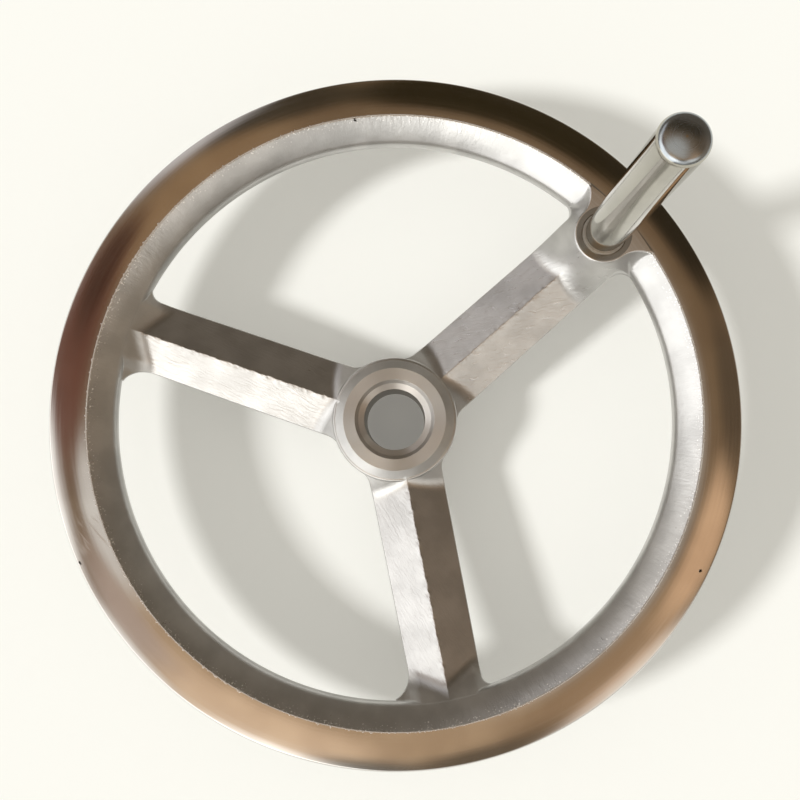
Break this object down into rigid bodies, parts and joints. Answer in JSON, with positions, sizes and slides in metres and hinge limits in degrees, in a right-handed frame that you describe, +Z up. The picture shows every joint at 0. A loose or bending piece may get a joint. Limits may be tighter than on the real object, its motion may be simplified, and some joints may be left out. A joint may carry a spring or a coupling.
{
  "type": "machine handwheel",
  "caption": "Machine handwheel with a turned rim, roof-backed spokes, a bored and countersunk hub, and a polished crank grip that revolves on a spindle in the rim's boss.",
  "frame": {"origin": "on the bore's axis at the hub's lower face, which the wheel rests on", "axes": "+Z up along the wheel's axis, towards the hub's countersunk face and the grip; +X from the wheel's axis to the grip's axis"},
  "size_m": [0.2, 0.2, 0.116],
  "materials": {
    "cast_steel": "blasted and ground stainless casting; rim turned and mirror polished; hub face fine turned",
    "turned_steel": "plain turned",
    "polished_steel": "mirror polished",
    "spring_steel": "bright drawn wire"
  },
  "bodies": {
    "wheel": {"wheel_casting": "cast_steel", "handle_spindle": "turned_steel", "grip_retaining_ring": "spring_steel"},
    "grip": {"handle_grip": "polished_steel"}
  },
  "joints": [
    {"name": "grip_spin", "type": "hinge", "parent": "wheel", "child": "grip", "pos_m": [0.0793, 0, 0.036], "axis": [0, 0, 1], "continuous": true}
  ]
}
